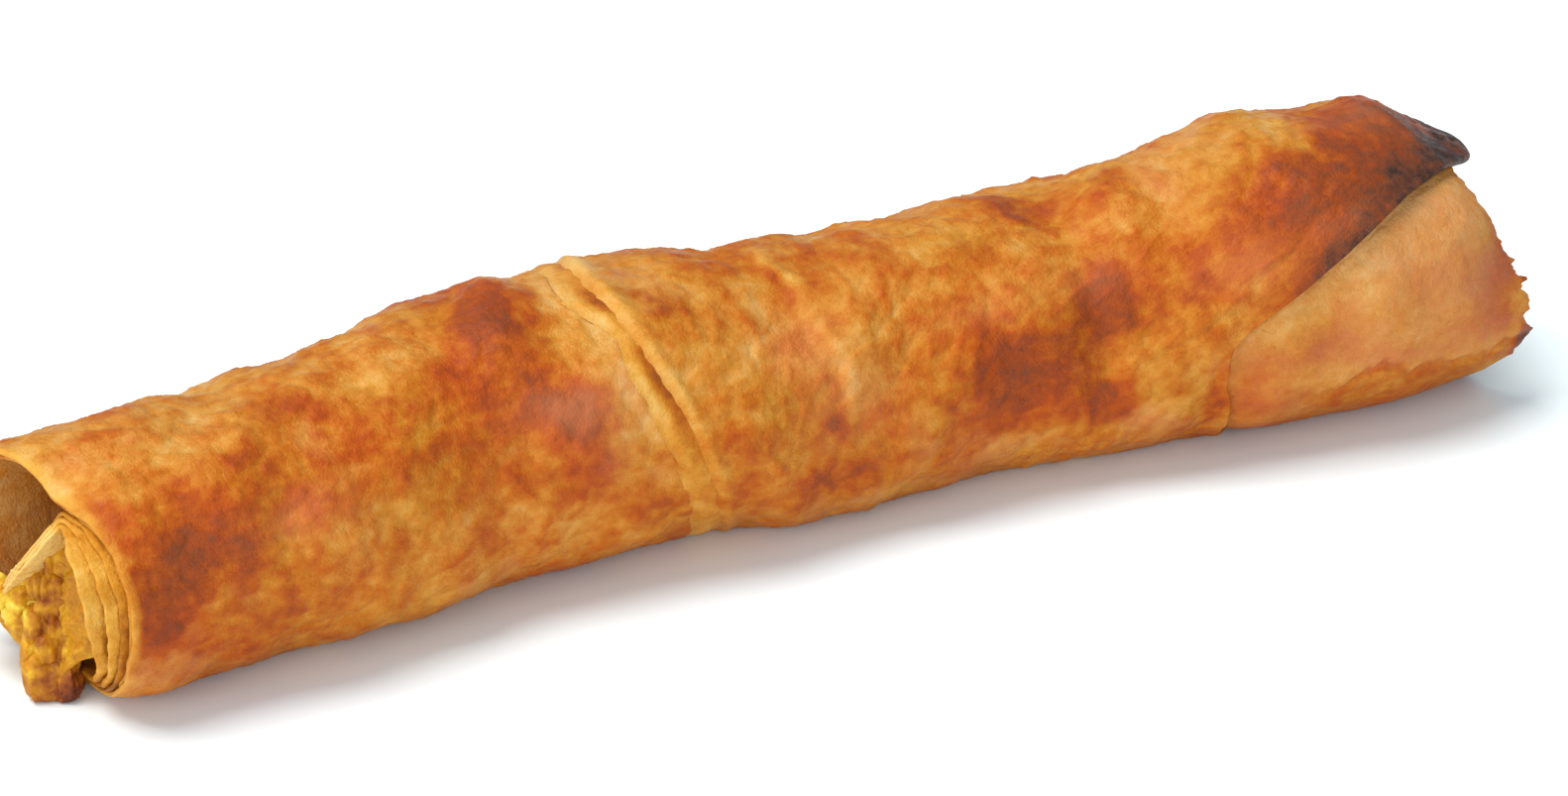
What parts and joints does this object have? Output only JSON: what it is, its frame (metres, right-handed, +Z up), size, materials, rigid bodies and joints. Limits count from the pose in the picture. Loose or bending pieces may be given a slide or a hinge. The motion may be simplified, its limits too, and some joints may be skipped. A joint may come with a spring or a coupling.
{
  "type": "rolled savoury pastry",
  "caption": "Long borek roll: thin browned dough sheets wound round a soft yellow filling, with open layered ends and a loose scorched flap.",
  "frame": {"origin": "under the middle of the object's box, on the surface that it lies on", "axes": "+X along the roll towards the end with the flap, +Z up, and the side that the picture shows faces -Y"},
  "size_m": [0.2546, 0.0562, 0.0472],
  "materials": {
    "pastry": "baked golden-brown crust, slightly glossy from fat",
    "filling": "soft, moist, matt"
  },
  "bodies": {
    "root": {"pastry": "pastry", "filling": "filling"}
  },
  "joints": []
}
